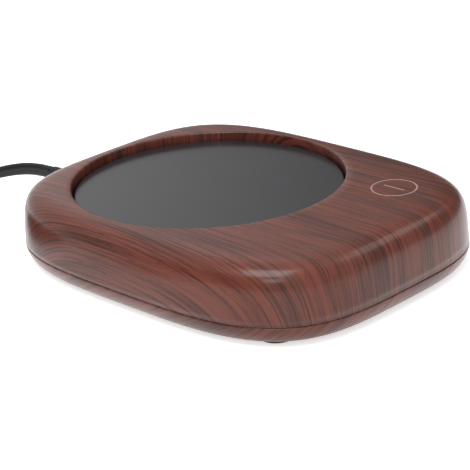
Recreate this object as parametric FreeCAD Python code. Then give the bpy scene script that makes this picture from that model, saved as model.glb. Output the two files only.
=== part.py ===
import FreeCAD, Part
import os
from math import atan2, cos, hypot, pi, radians, sin, sqrt, tan

# Electric mug warmer with a weight-operated, floating heating plate.
# Millimetres, +Z up, -Y is the user's side, origin at the bottom centre on the table.

V = FreeCAD.Vector
UP = V(0, 0, 1)

# Case
width = 110.0
depth = 138.0
height = 25.3
corner_power = 3.49
case_wall = 2.4
top_skin = 2.2
floor_skin = 2.2
side_draft = 0.055
shoulder_in = 13.4
shoulder_down = 15.3
shoulder_power = 4.1
belly_in = 3.5
belly_up = 5.6
belly_power = 1.6
foot_stand = 1.55
seam_z = 7.3
seam_reveal = 0.3
tongue_height = 1.6
tongue_thick = 1.0
tongue_fit = 0.15

# Recess for the mug
recess_radius = 45.0
recess_depth = 2.9
recess_y = 14.3
recess_wall = 1.8
recess_wall_drop = 8.3
rim_round = 0.5

# Heating plate and what it carries
plate_gap = 0.5
plate_thick = 1.5
plate_skirt = 4.5
plate_round = 0.7
stud_circle = 31.0
stud_radius = 2.5
stud_bore = 1.2
mica_radius = 36.0
mica_thick = 0.4
mica_hole = 3.1
element_radius = 34.0
element_thick = 0.5
ribbon_width = 2.6
ribbon_gap = 2.4
clamp_radius = 38.0
clamp_thick = 0.8
pad_radius = 37.0
pad_thick = 2.0

# Carrier, its stops, guides and springs
carrier_floor = 1.8
carrier_wall = 2.2
lug_count = 3
lug_reach = 1.6
lug_width = 9.0
lug_thick = 2.0
lug_gap = 0.1
plate_travel = 0.8
guide_circle = 36.5
guide_pin_radius = 1.5
guide_fit = 0.06
guide_wall = 1.6
guide_bottom_gap = 1.7
guide_sleeve_height = 5.5
spring_circle = 24.0
spring_wire = 0.7
spring_mean = 6.0
spring_turns = 4
spring_post_radius = 2.2
spring_post_height = 3.5

# Weight switch
switch_length = 12.8
switch_width = 5.8
switch_height = 5.6
switch_y = 2.0
plunger_length = 2.6
plunger_width = 1.4
plunger_out = 1.2
plunger_in = 2.2
plunger_fit = 0.05
presser_radius = 1.6
switch_hole_pitch = 6.5
switch_screw_radius = 0.95
tab_length = 3.2
tab_width = 2.4
tab_thick = 0.5

# Temperature parts under the clamp plate
thermostat_radius = 6.0
thermostat_height = 4.2
thermostat_x = 14.0
fuse_radius = 1.6
fuse_length = 10.0
fuse_lead = 0.4
fuse_lead_out = 6.0
fuse_x = -14.0

# Control board and touch mark
mark_from_board_end = 5.8
mark_behind_board_middle = 3.8
mark_radius = 7.0
window_skin = 1.2
window_margin = 1.2
guide_ring_wall = 1.6
sensor_radius = 4.2
board_end_gap = 2.4
board_width = 22.0
board_thick = 1.6
board_from_recess = 4.3
board_top_z = 15.6
board_post_radius = 2.6
board_screw_radius = 1.1
board_screw_inset = 3.4
board_post_gap = 0.4
relay_size = (19.0, 10.0, 7.0)
film_size = (13.0, 6.0, 7.5)
film_from_board_end = 8.0
relay_from_film = 19.0
led_size = (1.6, 0.8, 0.6)

# Case screws and feet
boss_from_side = 16.0
boss_from_end = 18.0
boss_radius = 3.6
case_screw_radius = 1.5
case_head_radius = 2.7
case_head_height = 1.8
case_screw_length = 10.0
thread_fit = 0.03
head_room = 0.3
foot_radius = 5.6
foot_in_from_screw_x = 1.8
foot_in_from_screw_y = 1.6
foot_seat = 1.4
foot_seat_wall = 1.3
foot_seat_gap = 0.1
foot_round = 0.5

# Cord, its boot and its clamp
cord_radius = 1.8
cord_exit_z = 9.4
boot_root_radius = 3.7
boot_tip_radius = 2.55
boot_length = 26.0
boot_collar_radius = 4.3
boot_collar_thick = 1.6
boot_flange_radius = 4.4
boot_flange_thick = 1.4
boot_neck_radius = 3.1
boot_fit = 0.1
boot_slots = 5
boot_slot_width = 1.3
boot_slot_depth = 0.7
clamp_gap = 0.2
clamp_width = 5.0
clamp_strap = 1.5
clamp_screw_x = 6.6
clamp_screw_radius = 1.25
clamp_ear = 3.0
inner_cord_length = 17.0
lead_radius = 0.8

# Put-away coil: the centre of its turns, its smallest turn and its layers
coil_x = -70.0
coil_y = 98.0
coil_inner_radius = 17.0
coil_pitch = 4.15
coil_layer_turns = (2.0, 2.0, 2.0, 1.5)

# Plug with two flat blades
plug_length = 30.0
plug_width = 24.0
plug_thick = 13.0
plug_nose_width = 22.0
plug_tail_width = 12.0
plug_relief_length = 14.0
plug_relief_radius = 3.4
blade_pitch = 12.7
blade_width = 6.35
blade_thick = 1.5
blade_length = 17.0
blade_hole_radius = 1.6
blade_hole_from_tip = 4.2
blade_root = 4.0

# Heights that follow from the sizes above
underside_z = foot_stand
floor_z = underside_z + floor_skin
ceiling_z = height - top_skin
plate_top_z = height - recess_depth
plate_under_z = plate_top_z - plate_thick
plate_radius = recess_radius - plate_gap
skirt_z = plate_top_z - plate_skirt
recess_wall_z = height - recess_wall_drop
mica_top_z = plate_under_z
element_top_z = mica_top_z - mica_thick
mica_low_z = element_top_z - element_thick
clamp_top_z = mica_low_z - mica_thick
pad_top_z = clamp_top_z - clamp_thick
tray_z = pad_top_z - pad_thick
tray_under_z = tray_z - carrier_floor
board_under_z = board_top_z - board_thick
switch_top_z = floor_z + switch_height
plunger_top_z = switch_top_z + plunger_out
window_z = height - window_skin
foot_top_z = underside_z + foot_seat
head_seat_z = foot_top_z + head_room + case_head_height
coil_reach = coil_inner_radius + coil_layer_turns[0] * coil_pitch
coil_low_z = cord_radius
coil_top_z = cord_radius + (len(coil_layer_turns) - 1) * coil_pitch
case_back_y = depth / 2
boot_end_y = case_back_y + boot_length
wall_lean = side_draft * (cord_exit_z + boot_flange_radius - seam_z)
boot_inner_y = case_back_y - case_wall - wall_lean - boot_fit
sheath_start_y = boot_inner_y - boot_flange_thick
sheath_end_y = sheath_start_y - inner_cord_length
clamp_y = sheath_start_y - clamp_gap - clamp_width / 2

# Places that follow from the sizes above
boss_x = width / 2 - boss_from_side
boss_y = depth / 2 - boss_from_end
board_length = 2 * (boss_x - boss_radius - board_end_gap)
board_y = recess_y - recess_radius - board_from_recess - board_width / 2
mark_x = board_length / 2 - mark_from_board_end
mark_y = board_y + mark_behind_board_middle
film_x = film_from_board_end - board_length / 2
relay_x = film_x + relay_from_film


def cylinder(radius, low, high, x=0.0, y=0.0):
    """Upright cylinder between two heights."""
    return Part.makeCylinder(radius, high - low, V(x, y, low), UP)


def pipe_along_y(radius, start, end, x, z):
    """Cylinder lying along Y."""
    return Part.makeCylinder(radius, end - start, V(x, start, z), V(0, 1, 0))


def block(size_x, size_y, low, high, x=0.0, y=0.0):
    """Upright box centred on x and y."""
    return Part.makeBox(size_x, size_y, high - low, V(x - size_x / 2, y - size_y / 2, low))


def turned(corners, x=0.0, y=0.0):
    """Solid of revolution about an upright axis, from (radius, height) corners."""
    points = [V(radius, 0, z) for radius, z in corners]
    face = Part.Face(Part.makePolygon(points + [points[0]]))
    solid = face.revolve(V(0, 0, 0), UP, 360)
    solid.translate(V(x, y, 0))
    return solid


def around(count, circle, start=90.0, x=0.0, y=0.0):
    """Places spread evenly on a circle, each with its angle in degrees."""
    for step in range(count):
        angle = start + 360.0 * step / count
        yield x + circle * cos(radians(angle)), y + circle * sin(radians(angle)), angle


def power(value, exponent):
    """Signed power."""
    return (1 if value >= 0 else -1) * abs(value) ** exponent


def outline(inset, z, points=48):
    """Rounded-square outline of the case at one height, drawn in by inset all round."""
    ring = []
    for step in range(points):
        turn = 2 * pi * step / points
        c = cos(turn)
        s = sin(turn)
        nx = power(c, 2 - 2 / corner_power) / (width / 2)
        ny = power(s, 2 - 2 / corner_power) / (depth / 2)
        long = hypot(nx, ny)
        x = width / 2 * power(c, 2 / corner_power) - inset * nx / long
        y = depth / 2 * power(s, 2 / corner_power) - inset * ny / long
        ring.append(V(x, y, z))
    curve = Part.BSplineCurve()
    curve.interpolate(ring, PeriodicFlag=True)
    return Part.Wire(curve.toShape())


def band(inset, thick, low, high):
    """Upright wall that follows the case outline between two heights."""
    rise = V(0, 0, high - low)
    outer = Part.Face(outline(inset, low)).extrude(rise)
    return outer.cut(Part.Face(outline(inset + thick, low)).extrude(rise))


def quarter(share, exponent):
    """Drop of a super-elliptic quarter: 0 at share 0, 1 at share 1."""
    return 1 - (1 - share ** exponent) ** (1 / exponent)


def cover_form(skin_side, skin_top, low):
    """Closed form of the cover's outside, or of its cavity when skins are given."""
    top = height - skin_top
    down = shoulder_down - skin_top
    reach = shoulder_in - skin_side
    sections = [outline(skin_side + side_draft * (low - seam_z), low)]
    for share in (0.0, 0.35, 0.55, 0.7, 0.8, 0.88, 0.93, 0.965, 0.988, 1.0):
        z = top - down * (1 - share)
        inset = skin_side + side_draft * (z - seam_z) + reach * quarter(share, shoulder_power)
        sections.append(outline(inset, z))
    return Part.makeLoft(sections, True, True)


def base_form(skin_side, skin_floor, top):
    """Closed form of the base's outside, or of its cavity when skins are given."""
    low = underside_z + skin_floor
    up = belly_up - skin_floor
    sections = []
    for share in (1.0, 0.9, 0.7, 0.45, 0.2, 0.0):
        z = low + up * (1 - share)
        sections.append(outline(skin_side + belly_in * quarter(share, belly_power), z))
    if top > low + up:
        sections.append(outline(skin_side, top))
    return Part.makeLoft(sections, True, True)


def corners_of_case():
    """Places of the four case screws."""
    for side in (-1, 1):
        for end in (-1, 1):
            yield side * boss_x, end * boss_y


def places_of_feet():
    """Places of the four feet, each set inwards of the case screw that it hides."""
    for side in (-1, 1):
        for end in (-1, 1):
            yield side * (boss_x - foot_in_from_screw_x), end * (boss_y - foot_in_from_screw_y)


def board_corners():
    """Places of the four screws of the control board, clear of the light guide."""
    back = board_y + board_width / 2 - board_screw_inset
    front = board_y - board_width / 2 + board_screw_inset
    left = board_screw_inset - board_length / 2
    beside_guide = mark_x - mark_radius - window_margin - board_post_radius - board_post_gap
    yield left, back
    yield left, front
    yield beside_guide, back
    yield board_length / 2 - board_screw_inset, front


def cord_opening():
    """Hole through the case wall that the boot's neck passes."""
    start = case_back_y - 3 * case_wall
    return pipe_along_y(boot_neck_radius + boot_fit, start, case_back_y + case_wall, 0, cord_exit_z)


def top_cover():
    """Moulded cover with the mug recess, screw bosses, board posts and ribs inside."""
    low = seam_z + seam_reveal / 2
    outer = cover_form(0.0, 0.0, low)
    cavity = cover_form(case_wall, top_skin, low - 1.0)
    shell = outer.cut(cavity)
    inside = []
    recess_outer = recess_radius + recess_wall
    inside.append(cylinder(recess_outer, recess_wall_z, height - rim_round, 0, recess_y))
    boss_low = seam_z
    for x, y in corners_of_case():
        inside.append(cylinder(boss_radius, boss_low, ceiling_z + 0.5, x, y))
    for x, y in board_corners():
        inside.append(cylinder(board_post_radius, board_top_z, ceiling_z + 0.5, x, y))
    rib_low = ceiling_z - 3.0
    for x in (-24.0, -8.0, 8.0):
        inside.append(block(1.2, depth, rib_low, ceiling_z + 0.5, x, -depth / 2 + recess_y - recess_radius))
    keep = cavity.common(Part.makeBox(width, depth, height, V(-width / 2, -depth / 2, 0)))
    added = inside[0].multiFuse(inside[1:]).common(keep)
    shell = shell.fuse(added)
    cuts = [cylinder(recess_radius, recess_wall_z - 1, height + 1, 0, recess_y)]
    cuts.append(turned([(recess_radius - 1, height + 1), (recess_radius + rim_round + 1, height + 1),
                        (recess_radius + rim_round, height), (recess_radius, height - rim_round),
                        (recess_radius - 1, height - rim_round)], 0, recess_y))
    cuts.append(cylinder(mark_radius + window_margin, ceiling_z - 5, window_z, mark_x, mark_y))
    pilot_top = head_seat_z + case_screw_length + 0.5
    for x, y in corners_of_case():
        cuts.append(cylinder(case_screw_radius + thread_fit, boss_low - 1, pilot_top, x, y))
    for x, y in board_corners():
        pilot = board_top_z + 5.5
        cuts.append(cylinder(board_screw_radius + thread_fit, board_top_z - 1, pilot, x, y))
    cuts.append(cord_opening())
    return shell.cut(cuts[0].multiFuse(cuts[1:])).removeSplitter()


def base_shell():
    """Lower shell with foot seats, screw wells, spring posts, guide sleeves and mounts."""
    low = seam_z - seam_reveal / 2
    outer = base_form(0.0, 0.0, low)
    cavity = base_form(case_wall, floor_skin, seam_z + 3.0)
    shell = outer.cut(cavity)
    tongue_low = low - 1.6
    tongue = band(case_wall + tongue_fit, tongue_thick, tongue_low, seam_z + tongue_height)
    tongue_root = band(case_wall - 0.3, tongue_fit + 0.6, tongue_low, low)
    posts = []
    for x, y in places_of_feet():
        posts.append(cylinder(foot_radius + foot_seat_gap + foot_seat_wall, floor_z - 0.5, foot_top_z + 1.2, x, y))
    for x, y in corners_of_case():
        posts.append(cylinder(boss_radius + 0.6, floor_z - 0.5, seam_z, x, y))
    for x, y, _ in around(lug_count, spring_circle, 30.0, 0, recess_y):
        posts.append(cylinder(spring_post_radius, floor_z - 0.5, floor_z + spring_post_height, x, y))
    for x, y, _ in around(lug_count, guide_circle, 30.0, 0, recess_y):
        top = floor_z + guide_sleeve_height
        posts.append(cylinder(guide_pin_radius + guide_fit + guide_wall, floor_z - 0.5, top, x, y))
    saddle = cord_exit_z - cord_radius
    posts.append(block(2 * (clamp_screw_x + clamp_ear), clamp_width, floor_z - 0.5, saddle, 0, clamp_y))
    posts.append(block(2 * (clamp_screw_x + clamp_ear), clamp_width, saddle - 0.1, cord_exit_z, 0, clamp_y))
    added = posts[0].multiFuse(posts[1:])
    shell = shell.multiFuse([tongue, tongue_root, added])
    cuts = []
    for x, y in places_of_feet():
        cuts.append(cylinder(foot_radius + foot_seat_gap, underside_z - 1, foot_top_z, x, y))
    for x, y in corners_of_case():
        cuts.append(cylinder(case_head_radius + 0.3, underside_z - 1, head_seat_z, x, y))
        cuts.append(cylinder(case_screw_radius + 0.2, underside_z - 1, seam_z + 1, x, y))
    for x, y, _ in around(lug_count, guide_circle, 30.0, 0, recess_y):
        top = floor_z + guide_sleeve_height + 1
        cuts.append(cylinder(guide_pin_radius + guide_fit, floor_z, top, x, y))
    cuts.append(pipe_along_y(cord_radius, clamp_y - clamp_width, clamp_y + clamp_width, 0, cord_exit_z))
    for side in (-1, 1):
        pilot = clamp_screw_radius + thread_fit
        cuts.append(cylinder(pilot, floor_z + 0.8, cord_exit_z + 1, side * clamp_screw_x, clamp_y))
        hole_x = side * switch_hole_pitch / 2
        cuts.append(cylinder(switch_screw_radius + thread_fit, underside_z + 0.7, floor_z + 1, hole_x, switch_y))
    cuts.append(cord_opening())
    room = boot_flange_radius + boot_fit
    cuts.append(pipe_along_y(room, boot_inner_y - boot_flange_thick - 0.1, boot_inner_y + 0.1, 0, cord_exit_z))
    return shell.cut(cuts[0].multiFuse(cuts[1:])).removeSplitter()


def heating_plate():
    """Pressed aluminium pan with a rolled edge and three threaded studs under it."""
    inner = plate_radius - plate_thick
    corner = [(0, plate_under_z), (inner, plate_under_z), (inner, skirt_z), (plate_radius, skirt_z)]
    steps = 5
    for step in range(steps + 1):
        turn = pi / 2 * step / steps
        corner.append((plate_radius - plate_round + plate_round * cos(turn),
                       plate_top_z - plate_round + plate_round * sin(turn)))
    corner.append((0, plate_top_z))
    pan = turned(corner, 0, recess_y)
    for x, y, _ in around(lug_count, stud_circle, 60.0, 0, recess_y):
        stud = cylinder(stud_radius, tray_z, plate_under_z + 0.3, x, y)
        stud = stud.cut(cylinder(stud_bore + thread_fit, tray_z - 1, plate_under_z - 0.4, x, y))
        pan = pan.fuse(stud)
    return pan.removeSplitter()


def disc_with_holes(radius, low, high, clearance):
    """Thin disc under the plate, holed for the three studs."""
    disc = cylinder(radius, low, high, 0, recess_y)
    for x, y, _ in around(lug_count, stud_circle, 60.0, 0, recess_y):
        disc = disc.cut(cylinder(stud_radius + clearance, low - 1, high + 1, x, y))
    return disc


def heating_element():
    """Flat resistance ribbon: concentric bands joined across one side into one track."""
    low = mica_low_z
    high = element_top_z
    step = ribbon_width + ribbon_gap
    outer = min(element_radius, stud_circle - stud_radius - ribbon_gap / 2)
    bands = []
    radius = outer
    while radius - ribbon_width > step:
        ring = cylinder(radius, low, high, 0, recess_y).cut(cylinder(radius - ribbon_width, low, high, 0, recess_y))
        bands.append(ring)
        radius -= step
    slot = Part.makeBox(ribbon_gap, outer + 1, high - low, V(-ribbon_gap / 2, recess_y - outer - 1, low))
    bands = [band.cut(slot) for band in bands]
    radius = outer
    side = 1
    links = []
    for _ in range(len(bands) - 1):
        x = ribbon_gap / 2 if side > 0 else -ribbon_gap / 2 - ribbon_width
        inner = radius - step - ribbon_width / 2
        links.append(Part.makeBox(ribbon_width, radius - ribbon_width / 2 - inner, high - low,
                                  V(x, recess_y - radius + ribbon_width / 2, low)))
        radius -= step
        side = -side
    return bands[0].multiFuse(bands[1:] + links).removeSplitter()


def clamp_plate():
    """Steel disc that presses the mica pack to the plate, with two pressed ring beads."""
    disc = disc_with_holes(clamp_radius, pad_top_z, clamp_top_z, 0.4)
    window = cylinder(thermostat_radius - 1.0, pad_top_z - 1, clamp_top_z + 1, thermostat_x, recess_y)
    return disc.cut(window)


def insulation_pad():
    """Ceramic-fibre pad, cut away round the thermostat and the fuse."""
    pad = disc_with_holes(pad_radius, tray_z, pad_top_z, 0.5)
    pad = pad.cut(cylinder(thermostat_radius + 0.5, tray_z - 1, pad_top_z + 1, thermostat_x, recess_y))
    room = fuse_radius * 2 + 1.0
    length = fuse_length + 2 * fuse_lead_out + 1.0
    return pad.cut(block(room, length, tray_z - 1, pad_top_z + 1, fuse_x, recess_y))


def thermostat():
    """Snap-disc thermostat clipped through the carrier against the clamp plate."""
    top = pad_top_z
    low = top - thermostat_height
    cap = cylinder(thermostat_radius, low + 1.4, top, thermostat_x, recess_y)
    body = cylinder(thermostat_radius - 0.8, low, low + 1.4, thermostat_x, recess_y)
    for side in (-1, 1):
        tab = block(tab_width, tab_length + 2.0, low + 0.5, low + 0.5 + tab_thick, thermostat_x,
                    recess_y + side * (thermostat_radius - 1.0 + tab_length / 2))
        body = body.fuse(tab)
    return cap.fuse(body).removeSplitter()


def thermal_fuse():
    """Axial thermal cut-off against the clamp plate, with its two leads."""
    z = pad_top_z - fuse_radius
    body = pipe_along_y(fuse_radius, recess_y - fuse_length / 2, recess_y + fuse_length / 2, fuse_x, z)
    reach = fuse_length / 2 + fuse_lead_out
    lead = pipe_along_y(fuse_lead, recess_y - reach, recess_y + reach, fuse_x, z)
    return body.fuse(lead)


def plate_carrier():
    """Moulded tray under the plate: wall, stop lugs, guide pins, spring spigots and switch boss."""
    outer = plate_radius
    inner = outer - carrier_wall
    tray = turned([(0, tray_under_z), (outer - 0.6, tray_under_z), (outer, tray_under_z + 0.6),
                   (outer, skirt_z), (inner, skirt_z), (inner, tray_z), (0, tray_z)], 0, recess_y)
    added = []
    lug_top = recess_wall_z - lug_gap
    reach = recess_radius + lug_reach
    ring = cylinder(reach, lug_top - lug_thick, lug_top, 0, recess_y).cut(
        cylinder(outer - 0.3, lug_top - lug_thick, lug_top, 0, recess_y))
    for _, _, angle in around(lug_count, reach, 30.0):
        sector = block(reach + 5, lug_width, lug_top - lug_thick, lug_top, (reach + 5) / 2, 0)
        sector.rotate(V(0, 0, 0), UP, angle)
        sector.translate(V(0, recess_y, 0))
        added.append(ring.common(sector))
    for x, y, _ in around(lug_count, guide_circle, 30.0, 0, recess_y):
        added.append(cylinder(guide_pin_radius, floor_z + guide_bottom_gap, tray_under_z + 0.3, x, y))
        added.append(turned([(0, tray_under_z - 1.5), (guide_pin_radius, tray_under_z - 1.5),
                             (guide_pin_radius + 1.5, tray_under_z + 0.3), (0, tray_under_z + 0.3)], x, y))
    for x, y, _ in around(lug_count, spring_circle, 30.0, 0, recess_y):
        added.append(cylinder(spring_post_radius, tray_under_z - 2.2, tray_under_z + 0.3, x, y))
    added.append(cylinder(presser_radius, plunger_top_z, tray_under_z + 0.3, 0, switch_y))
    for _, _, angle in around(6, 1.0, 0.0):
        rib = Part.makeBox(inner - 12.0, 1.2, 1.4, V(9.0, -0.6, tray_under_z - 1.2))
        rib.rotate(V(0, 0, 0), UP, angle)
        rib.translate(V(0, recess_y, 0))
        added.append(rib)
    tray = tray.multiFuse(added)
    cuts = [cylinder(thermostat_radius + 0.5, tray_under_z - 3, tray_z + 1, thermostat_x, recess_y)]
    cuts.append(block(2 * tab_length, 2 * (thermostat_radius + tab_length + 1), tray_under_z - 3, tray_z + 1,
                      thermostat_x, recess_y))
    room = fuse_radius * 2 + 1.0
    cuts.append(block(room, fuse_length + 2 * fuse_lead_out + 1.0, tray_z - 1.4, tray_z + 1, fuse_x, recess_y))
    for x, y, _ in around(lug_count, stud_circle, 60.0, 0, recess_y):
        cuts.append(cylinder(stud_bore + 0.3, tray_under_z - 1, tray_z + 1, x, y))
        cuts.append(cylinder(2.9, tray_under_z - 3, tray_under_z + 0.5, x, y))
    return tray.cut(cuts[0].multiFuse(cuts[1:])).removeSplitter()


def pan_head_screw(x, y, seat, radius, length, head_radius, head_height, upward=True):
    """Screw with a domed head and a cross recess; its shank runs up or down from the seat."""
    sign = 1 if upward else -1
    shank = Part.makeCylinder(radius, length, V(x, y, seat), V(0, 0, sign))
    low = seat - sign * head_height
    head = Part.makeCone(head_radius * 0.75, head_radius, head_height * 0.45, V(x, y, low), V(0, 0, sign))
    rim = Part.makeCylinder(head_radius, head_height * 0.55, V(x, y, low + sign * head_height * 0.45), V(0, 0, sign))
    slot_low = min(low, low + sign * head_height * 0.5)
    slot_high = max(low, low + sign * head_height * 0.5)
    cross = block(head_radius * 1.2, head_radius * 0.3, slot_low, slot_high, x, y).fuse(
        block(head_radius * 0.3, head_radius * 1.2, slot_low, slot_high, x, y))
    return head.fuse(rim).fuse(shank).cut(cross).removeSplitter()


def plate_screws():
    """Three screws that hold the carrier up against the plate's studs."""
    seat = tray_under_z + 0.5
    length = plate_under_z - 1.0 - seat
    return Part.makeCompound([pan_head_screw(x, y, seat, stud_bore, length, 2.4, 1.4)
                              for x, y, _ in around(lug_count, stud_circle, 60.0, 0, recess_y)])


def spring(x, y, low, high):
    """Compression spring of round wire: one unbroken tube on a helix of quarter turns."""
    radius = spring_mean / 2
    rise = (high - low - spring_wire) / spring_turns
    places = []
    ways = []
    for step in range(4 * spring_turns + 1):
        turn = pi / 2 * step
        places.append(V(x + radius * cos(turn), y + radius * sin(turn), low + spring_wire / 2 + rise * step / 4))
        ways.append(V(-radius * sin(turn), radius * cos(turn), rise / (2 * pi)).normalize())
    edges = winding(places, ways)
    ring = Part.Wire(Part.makeCircle(spring_wire / 2, places[0], ways[0]))
    print("plate spring least gap to itself", round(self_gap(edges, spring_wire / 2), 3), "mm")
    return Part.Wire(edges).makePipeShell([ring], True, False)


def plate_springs():
    """Three springs between the base floor and the carrier."""
    slack = 0.05
    return Part.makeCompound([spring(x, y, floor_z + slack, tray_under_z - slack)
                              for x, y, _ in around(lug_count, spring_circle, 30.0, 0, recess_y)])


def microswitch():
    """Snap-action switch lying on the floor, with a well for its plunger and two screw holes."""
    body = block(switch_length, switch_width, floor_z, switch_top_z, 0, switch_y)
    edges = [e for e in body.Edges if abs(e.tangentAt(e.FirstParameter).z) > 0.99]
    body = body.makeFillet(0.5, edges)
    well = block(plunger_length + 2 * plunger_fit, plunger_width + 2 * plunger_fit,
                 switch_top_z - plunger_in - plate_travel - 0.3, switch_top_z + 1, 0, switch_y)
    body = body.cut(well)
    for side in (-1, 1):
        x = side * switch_hole_pitch / 2
        body = body.cut(cylinder(switch_screw_radius + 0.1, floor_z - 1, switch_top_z + 1, x, switch_y))
    return body


def switch_plunger():
    """Small block that the carrier's boss pushes down into the switch."""
    low = switch_top_z - plunger_in
    plunger = block(plunger_length, plunger_width, low, plunger_top_z, 0, switch_y)
    top_edges = [e for e in plunger.Edges if all(v.Z > plunger_top_z - 0.01 for v in e.Vertexes)]
    return plunger.makeChamfer(0.2, top_edges)


def switch_tabs():
    """Two flat terminals out of the ends of the switch."""
    z = floor_z + switch_height * 0.35
    tabs = []
    for side in (-1, 1):
        x = side * (switch_length / 2 + tab_length / 2)
        tab = block(tab_length, tab_width, z, z + tab_thick, x, switch_y)
        tabs.append(tab.cut(cylinder(0.5, z - 1, z + 2, x + side * 0.5, switch_y)))
    return Part.makeCompound(tabs)


def switch_screws():
    """Two screws down through the switch into the floor."""
    length = switch_height + floor_skin - 1.0
    return Part.makeCompound([pan_head_screw(side * switch_hole_pitch / 2, switch_y, switch_top_z,
                                             switch_screw_radius, length, 1.3, 0.8, False)
                              for side in (-1, 1)])


def control_board():
    """Circuit board under the front of the cover, holed for its screws."""
    board = block(board_length, board_width, board_under_z, board_top_z, 0, board_y)
    upright = [e for e in board.Edges if abs(e.tangentAt(e.FirstParameter).z) > 0.99]
    board = board.makeFillet(1.5, upright)
    for x, y in board_corners():
        board = board.cut(cylinder(board_screw_radius + 0.15, board_under_z - 1, board_top_z + 1, x, y))
    return board


def part_under_board(size, x):
    """Boxed component soldered under the board, with rounded upright corners."""
    length, breadth, tall = size
    body = block(length, breadth, board_under_z - tall, board_under_z, x, board_y)
    upright = [e for e in body.Edges if abs(e.tangentAt(e.FirstParameter).z) > 0.99]
    return body.makeFillet(0.8, upright)


def touch_sensor():
    """Conductive foam post that brings the board's sensing pad up to the cover."""
    return cylinder(sensor_radius, board_top_z, window_z, mark_x, mark_y)


def light_guide():
    """Clear ring that carries light from the board up to the ring mark."""
    outer = mark_radius + window_margin - 0.1
    low = board_top_z + led_size[2]
    ring = turned([(outer - guide_ring_wall, low + 1.2), (outer, low + 1.2), (outer, window_z),
                   (outer - guide_ring_wall, window_z)], mark_x, mark_y)
    legs = []
    for x, y, angle in around(4, outer - guide_ring_wall / 2, 45.0, mark_x, mark_y):
        leg = block(guide_ring_wall, led_size[0], low, low + 1.4)
        leg.rotate(V(0, 0, 0), UP, angle)
        leg.translate(V(x, y, 0))
        legs.append(leg)
    return ring.multiFuse(legs).removeSplitter()


def indicator_leds():
    """Four small lamps on the board, one under each leg of the light guide."""
    outer = mark_radius + window_margin - 0.1
    lamps = []
    for x, y, angle in around(4, outer - guide_ring_wall / 2, 45.0, mark_x, mark_y):
        lamp = block(led_size[1], led_size[0], board_top_z, board_top_z + led_size[2])
        lamp.rotate(V(0, 0, 0), UP, angle)
        lamp.translate(V(x, y, 0))
        lamps.append(lamp)
    return Part.makeCompound(lamps)


def board_screws():
    """Four screws up through the board into the cover's posts."""
    return Part.makeCompound([pan_head_screw(x, y, board_under_z, board_screw_radius, board_thick + 5.0, 2.1, 1.3)
                              for x, y in board_corners()])


def case_screws():
    """Four screws, hidden by the feet, that hold the cover to the base."""
    return Part.makeCompound([pan_head_screw(x, y, head_seat_z, case_screw_radius, case_screw_length,
                                             case_head_radius, case_head_height)
                              for x, y in corners_of_case()])


def rubber_feet():
    """Four glued feet that the warmer stands on."""
    feet = []
    for x, y in places_of_feet():
        foot = cylinder(foot_radius, 0, foot_top_z, x, y)
        lower = [e for e in foot.Edges if abs(e.BoundBox.ZMax) < 0.01]
        feet.append(foot.makeFillet(foot_round, lower))
    return Part.makeCompound(feet)


def strain_relief():
    """Moulded boot: inner flange, neck through the wall, collar and a slotted tapering tail."""
    start = sheath_start_y
    outer_face = case_back_y + boot_fit
    profile = [(0, start), (boot_flange_radius, start), (boot_flange_radius, boot_inner_y),
               (boot_neck_radius, boot_inner_y), (boot_neck_radius, outer_face),
               (boot_collar_radius, outer_face), (boot_collar_radius, outer_face + boot_collar_thick * 0.6),
               (boot_root_radius, outer_face + boot_collar_thick), (boot_tip_radius, boot_end_y), (0, boot_end_y)]
    boot = turned(profile)
    pitch = (boot_length - boot_collar_thick - 6.0) / boot_slots
    for step in range(boot_slots):
        at = outer_face + boot_collar_thick + 2.5 + step * pitch
        share = (at - outer_face) / boot_length
        radius = boot_root_radius + (boot_tip_radius - boot_root_radius) * share
        cut = turned([(radius - boot_slot_depth, at), (radius + 1, at), (radius + 1, at + boot_slot_width),
                      (radius - boot_slot_depth, at + boot_slot_width)])
        bridge = block(1.6, 2 * boot_root_radius + 4, at - 1, at + boot_slot_width + 1)
        if step % 2:
            bridge.rotate(V(0, 0, 0), UP, 90)
        boot = boot.cut(cut.cut(bridge))
    boot.rotate(V(0, 0, 0), V(1, 0, 0), -90)
    boot.translate(V(0, 0, cord_exit_z))
    return boot


def cord_clamp():
    """Saddle that grips the cord on the base, with a half-round arch and two ears."""
    length = 2 * (clamp_screw_x + clamp_ear)
    low = cord_exit_z
    ears = block(length, clamp_width, low, low + clamp_strap, 0, clamp_y)
    start = clamp_y - clamp_width / 2
    arch = pipe_along_y(cord_radius + clamp_strap, start, start + clamp_width, 0, cord_exit_z)
    above = block(length, clamp_width, low, low + 20, 0, clamp_y)
    clamp = ears.fuse(arch.common(above))
    clamp = clamp.cut(pipe_along_y(cord_radius, start - 1, start + clamp_width + 1, 0, cord_exit_z))
    for side in (-1, 1):
        clamp = clamp.cut(cylinder(clamp_screw_radius + 0.15, low - 1, low + 9, side * clamp_screw_x, clamp_y))
    return clamp.removeSplitter()


def clamp_screws():
    """Two screws of the cord clamp."""
    length = cord_exit_z - floor_z
    return Part.makeCompound([pan_head_screw(side * clamp_screw_x, clamp_y, cord_exit_z + clamp_strap,
                                             clamp_screw_radius, length, 2.3, 1.3, False)
                              for side in (-1, 1)])


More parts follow.
